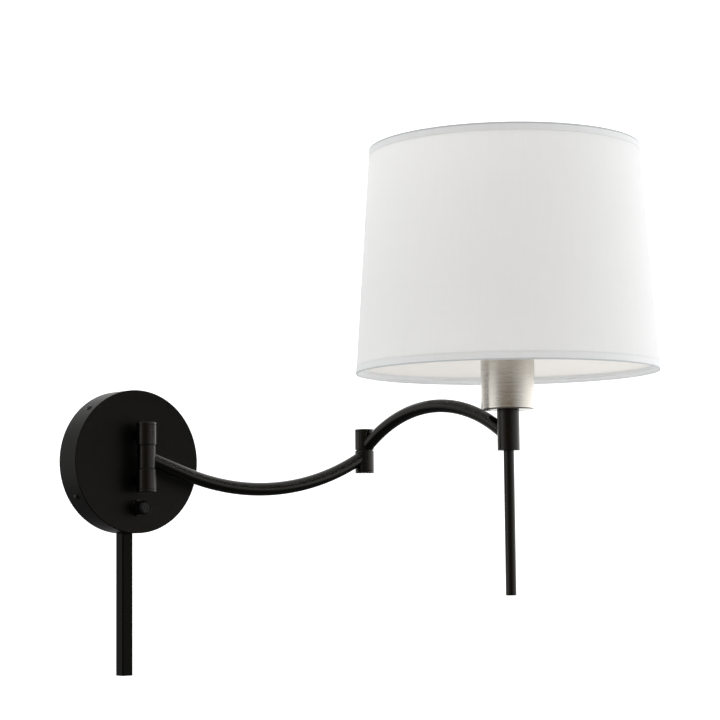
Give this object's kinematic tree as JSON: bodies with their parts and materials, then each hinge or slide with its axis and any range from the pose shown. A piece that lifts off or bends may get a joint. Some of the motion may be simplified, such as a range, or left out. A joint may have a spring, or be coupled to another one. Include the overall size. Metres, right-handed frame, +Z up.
{
  "type": "swing arm wall sconce",
  "caption": "Wall lamp on a round plate with a double swing arm of bowed tube, a turn switch, a nickel cup, a hand rod and a tapered linen drum shade.",
  "frame": {"origin": "centre of the line between the two wall screws, on the wall plane", "axes": "+Z up, +Y into the wall, -Y out into the room, +X to the right for someone who faces the wall"},
  "size_m": [0.4521, 0.4071, 0.4809],
  "materials": {
    "satin_black": "satin powder coat",
    "black_hardware": "black zinc",
    "black_plastic": "fine matt",
    "zinc_steel": "zinc plated",
    "ground_green": "green dyed zinc",
    "washer_nylon": "black nylon",
    "shell_brass": "bright drawn",
    "switch_body": "moulded",
    "connector_orange": "moulded",
    "lead_white": "plain insulation",
    "rubber_black": "moulded",
    "brushed_nickel": "brushed, clear lacquer",
    "frame_wire": "white powder coat",
    "shade_liner": "matt styrene",
    "shade_linen": "off-white linen weave"
  },
  "bodies": {
    "wall_bracket": {"mounting_plate": "zinc_steel", "ground_screw": "ground_green", "wall_plate": "satin_black", "rim_screws": "black_hardware", "knuckle_posts": "satin_black", "post_nuts": "zinc_steel", "upper_barrel": "satin_black", "lower_barrel": "satin_black", "knuckle_pivot": "zinc_steel", "knuckle_caps": "satin_black", "knuckle_washers": "washer_nylon", "knuckle_stop_pin": "zinc_steel", "switch_body": "switch_body", "switch_nut": "black_hardware", "wire_connectors": "connector_orange", "canopy_leads": "lead_white", "inlet_bushing": "rubber_black", "cord_cover": "satin_black", "cord_cover_strip": "black_plastic"},
    "knob": {"knob": "black_plastic", "switch_shaft": "zinc_steel"},
    "inner_arm": {"middle_barrel": "satin_black", "inner_arm_tube": "satin_black", "elbow_lower_barrel": "satin_black", "elbow_pivot": "zinc_steel", "elbow_nut": "zinc_steel", "elbow_washer": "washer_nylon", "elbow_bottom_cap": "satin_black", "elbow_stop_pin": "zinc_steel", "inner_arm_wire": "lead_white"},
    "outer_arm": {"elbow_upper_barrel": "satin_black", "elbow_top_cap": "satin_black", "outer_arm_tube": "satin_black", "stem": "satin_black", "hand_rod": "satin_black", "rod_plug": "satin_black", "cup": "brushed_nickel", "stem_nipple": "zinc_steel", "cup_locknut": "zinc_steel", "socket_cap": "zinc_steel", "socket_body": "black_plastic", "screw_shell": "shell_brass", "centre_contact": "shell_brass", "shade_ring": "black_plastic", "shade_fitter": "frame_wire", "shade_bottom_wire": "frame_wire", "shade_top_wire": "frame_wire", "shade_liner": "shade_liner", "shade_fabric": "shade_linen", "outer_arm_wire": "lead_white"}
  },
  "joints": [
    {"name": "wall_swivel", "type": "hinge", "parent": "wall_bracket", "child": "inner_arm", "pos_m": [0, -0.0434, 0.0034], "axis": [0, 0, 1], "range_deg": [-175.9, 4.1]},
    {"name": "elbow", "type": "hinge", "parent": "inner_arm", "child": "outer_arm", "pos_m": [0.24338, -0.06085, 0.0141], "axis": [0, 0, 1], "range_deg": [-65, 235]},
    {"name": "knob_turn", "type": "hinge", "parent": "wall_bracket", "child": "knob", "pos_m": [0, -0.0385, -0.0431], "axis": [0, -1, 0], "continuous": true}
  ]
}
